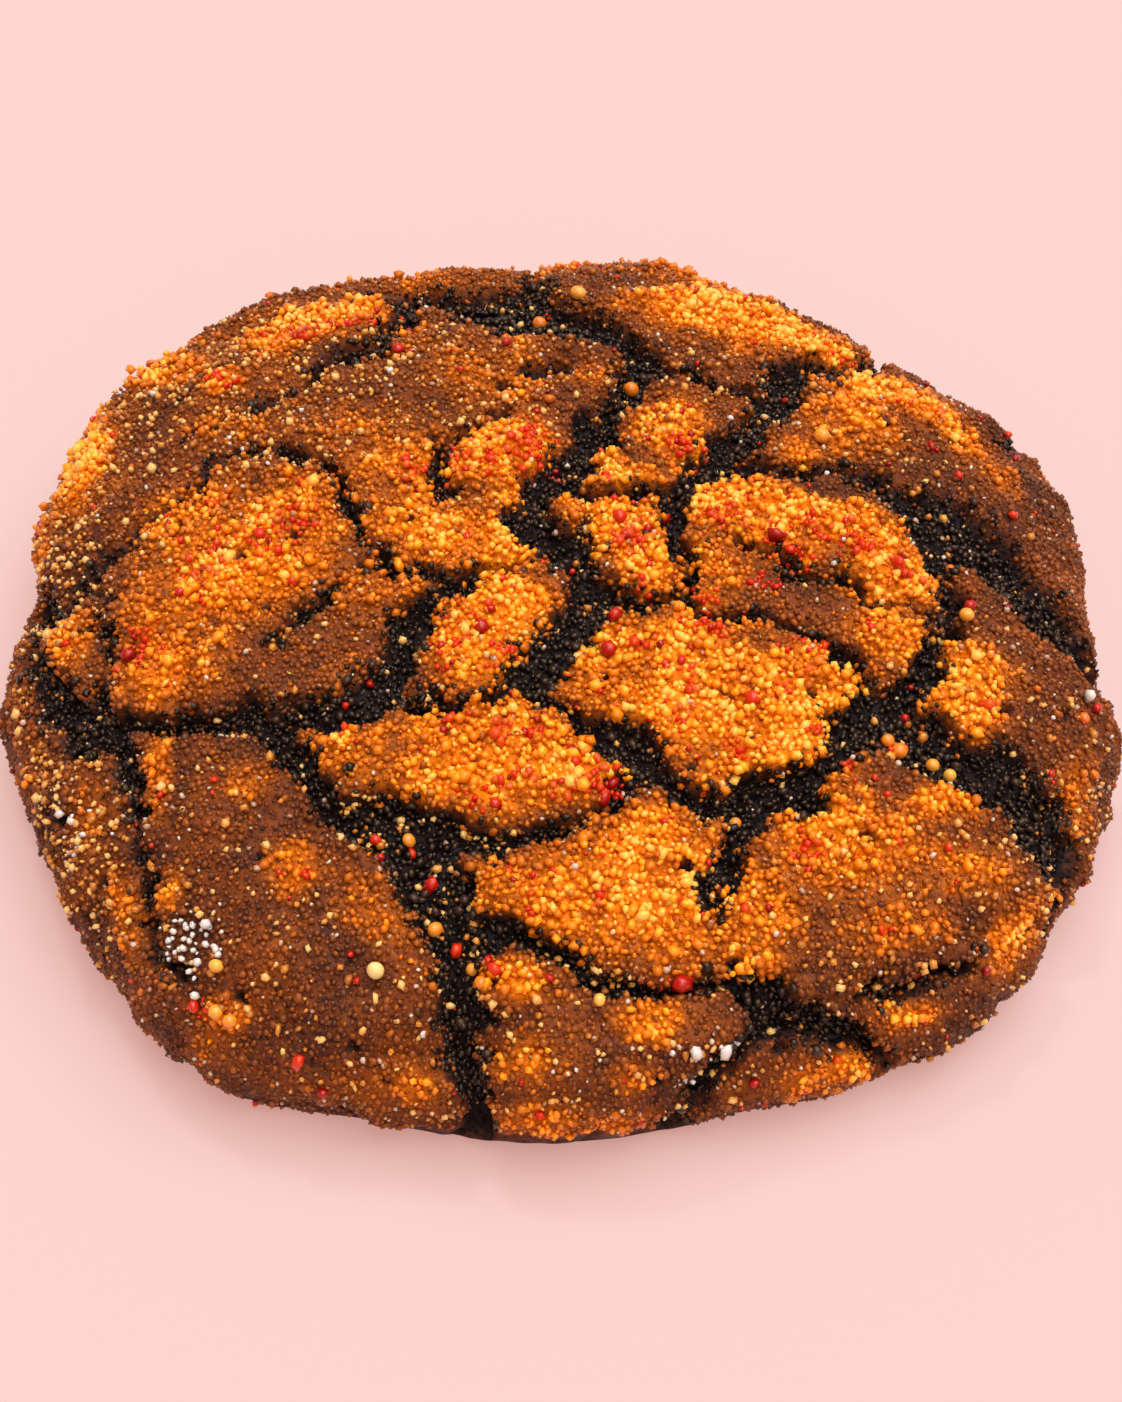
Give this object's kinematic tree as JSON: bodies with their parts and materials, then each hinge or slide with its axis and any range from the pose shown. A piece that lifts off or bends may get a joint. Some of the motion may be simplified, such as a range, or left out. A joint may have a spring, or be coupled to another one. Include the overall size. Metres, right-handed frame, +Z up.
{
  "type": "chocolate cookie",
  "caption": "Thick round chocolate crinkle cookie with a sugared crust split into plates over dark cracks, flat underneath.",
  "frame": {"origin": "on the flat base, under the middle of the plan box", "axes": "+Z up through the dome; -Y towards the long crack that runs down the front, +X to the right of it"},
  "size_m": [0.0896, 0.0958, 0.0208],
  "materials": {
    "crust": "rough brown baked crust, cracked, with coarse gold, amber and red sugar on it and near-black crumb in the cracks",
    "sugar": "glassy grains of gold, amber, red and white sugar"
  },
  "bodies": {
    "root": {"cookie": "crust"}
  },
  "joints": []
}
